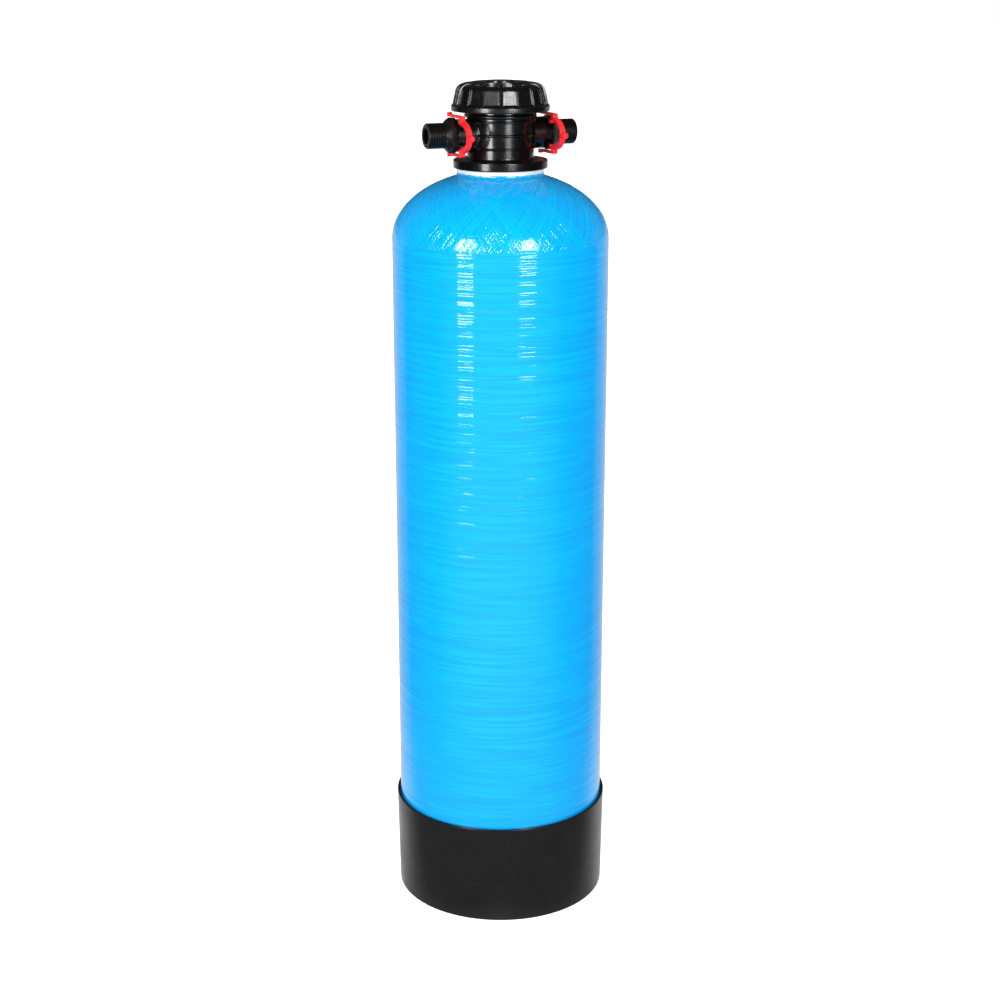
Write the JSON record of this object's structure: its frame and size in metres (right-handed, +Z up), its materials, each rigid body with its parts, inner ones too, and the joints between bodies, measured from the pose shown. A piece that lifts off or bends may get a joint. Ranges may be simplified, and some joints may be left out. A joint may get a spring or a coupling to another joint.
{
  "type": "demineralizer cartridge",
  "caption": "Mixed-bed demineralizer cartridge: wound pressure vessel in a boot, with an in-and-out head, screw cap, clipped port adapters and strainers.",
  "frame": {"origin": "centre of the boot's flat underside, on the floor", "axes": "+Z up the vessel's axis; the two ports lie along X, the inlet on -X and the outlet on +X; the securing clips pull out along -Y"},
  "size_m": [0.2385, 0.2386, 0.9119],
  "materials": {
    "boot": "satin",
    "winding": "gloss",
    "liner": "satin",
    "resin": "matte",
    "tube": "satin",
    "strainer": "satin",
    "head": "satin",
    "cap": "satin",
    "plug": "satin",
    "adapter": "satin",
    "clip": "gloss",
    "seal": "matte"
  },
  "bodies": {
    "vessel": {"base_boot": "boot", "wound_shell": "winding", "vessel_liner": "liner", "resin_bed": "resin", "riser_tube": "tube", "riser_o_ring": "seal", "strainer_basket": "strainer", "strainer_hub": "strainer", "upper_strainer": "strainer", "head_body": "head", "neck_o_ring": "seal"},
    "cap_plug": {"cap_plug": "plug", "cap_o_ring": "seal"},
    "screw_cap": {"screw_cap": "cap"},
    "inlet_adapter": {"inlet_adapter": "adapter", "inlet_o_ring_inner": "seal", "inlet_o_ring_outer": "seal"},
    "outlet_adapter": {"outlet_adapter": "adapter", "outlet_o_ring_inner": "seal", "outlet_o_ring_outer": "seal"},
    "inlet_clip": {"inlet_clip": "clip"},
    "outlet_clip": {"outlet_clip": "clip"}
  },
  "joints": [
    {"name": "cap_rise", "type": "slide", "parent": "vessel", "child": "cap_plug", "axis": [0, 0, 1], "range_m": [0, 0.0101]},
    {"name": "cap_turn", "type": "hinge", "parent": "cap_plug", "child": "screw_cap", "pos_m": [0, 0, 0.89], "axis": [0, 0, 1], "range_deg": [0, 900]},
    {"name": "inlet_swivel", "type": "hinge", "parent": "vessel", "child": "inlet_adapter", "pos_m": [-0.05, 0, 0.8572], "axis": [1, 0, 0], "continuous": true},
    {"name": "outlet_swivel", "type": "hinge", "parent": "vessel", "child": "outlet_adapter", "pos_m": [0.05, 0, 0.8572], "axis": [1, 0, 0], "continuous": true},
    {"name": "inlet_clip_pull", "type": "slide", "parent": "vessel", "child": "inlet_clip", "axis": [0, -1, 0], "range_m": [0, 0.042]},
    {"name": "outlet_clip_pull", "type": "slide", "parent": "vessel", "child": "outlet_clip", "axis": [0, -1, 0], "range_m": [0, 0.042]}
  ],
  "couplings": [
    {"joint": "cap_rise", "follows": "cap_turn", "m_per_rad": 0.00063662}
  ]
}
